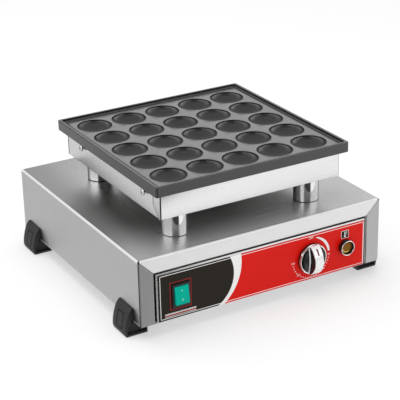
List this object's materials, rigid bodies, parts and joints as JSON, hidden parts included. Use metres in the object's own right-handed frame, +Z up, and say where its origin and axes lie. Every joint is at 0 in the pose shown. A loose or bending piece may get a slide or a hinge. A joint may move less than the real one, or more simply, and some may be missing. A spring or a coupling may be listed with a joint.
{
  "type": "mini pancake maker",
  "caption": "Open countertop cooker: square cast plate of round hollows over a heated housing on four columns, steel base with rocker switch, dial, lamp and rubber feet.",
  "frame": {"origin": "on the ground under the middle of the base and its feet", "axes": "+X to the right seen from the front, +Y to the back, +Z up; the controls face -Y"},
  "size_m": [0.405, 0.4177, 0.202],
  "materials": {
    "steel_brushed": "brushed",
    "steel_satin": "satin",
    "steel_polished": "polished",
    "steel_plated": "zinc plated",
    "cast_plate": "matte non-stick coating",
    "rubber_foot": "matte moulded",
    "overlay_print": "printed film",
    "knob_metal": "polished",
    "pointer_red": "painted line",
    "switch_black": "moulded",
    "rocker_green": "translucent gloss",
    "lamp_bright": "bright plated",
    "lamp_amber": "translucent gloss",
    "element_steel": "heat darkened",
    "mat_fibre": "mineral fibre",
    "copper_tube": "drawn",
    "brass_terminal": "bright",
    "lead_silicone": "silicone sleeve",
    "moulding_pale": "moulded",
    "gland_plastic": "moulded"
  },
  "bodies": {
    "base": {"base_shell": "steel_brushed", "front_panel": "steel_satin", "front_label": "overlay_print", "back_panel": "steel_satin", "floor_pan": "steel_plated", "foot_front_left": "rubber_foot", "foot_front_right": "rubber_foot", "foot_rear_left": "rubber_foot", "foot_rear_right": "rubber_foot", "foot_screws": "steel_plated", "foot_nuts": "steel_plated", "floor_screws": "steel_plated", "floor_nuts": "steel_plated", "column_front_left": "steel_polished", "column_front_right": "steel_polished", "column_rear_left": "steel_polished", "column_rear_right": "steel_polished", "tie_rods": "steel_plated", "tie_washers": "steel_plated", "tie_nuts": "steel_plated", "heater_housing": "steel_satin", "side_screws": "steel_plated", "side_nuts": "steel_plated", "bake_plate": "cast_plate", "heating_element": "element_steel", "clamp_plate": "steel_plated", "clamp_studs": "steel_plated", "clamp_nuts": "steel_plated", "insulation_mat": "mat_fibre", "sensor_bulb": "copper_tube", "capillary_tube": "copper_tube", "heater_leads": "lead_silicone", "control_leads": "lead_silicone", "thermostat_body": "moulding_pale", "thermostat_screws": "steel_plated", "switch_body": "switch_black", "switch_terminals": "brass_terminal", "lamp_ring": "lamp_bright", "lamp_lens": "lamp_amber", "lamp_nut": "steel_plated", "terminal_block": "moulding_pale", "terminal_screws": "brass_terminal", "earth_stud": "brass_terminal", "earth_nut": "brass_terminal", "cable_gland": "gland_plastic", "gland_cap": "gland_plastic", "gland_locknut": "gland_plastic"},
    "knob": {"thermostat_shaft": "steel_plated", "knob": "knob_metal", "knob_pointer": "pointer_red"},
    "rocker": {"switch_rocker": "rocker_green"}
  },
  "joints": [
    {"name": "knob_turn", "type": "hinge", "parent": "base", "child": "knob", "pos_m": [0.076, -0.1878, 0.053], "axis": [0, 1, 0], "range_deg": [0, 270]},
    {"name": "rocker_tilt", "type": "hinge", "parent": "base", "child": "rocker", "pos_m": [-0.129, -0.1849, 0.053], "axis": [1, 0, 0], "range_deg": [0, 18]}
  ]
}
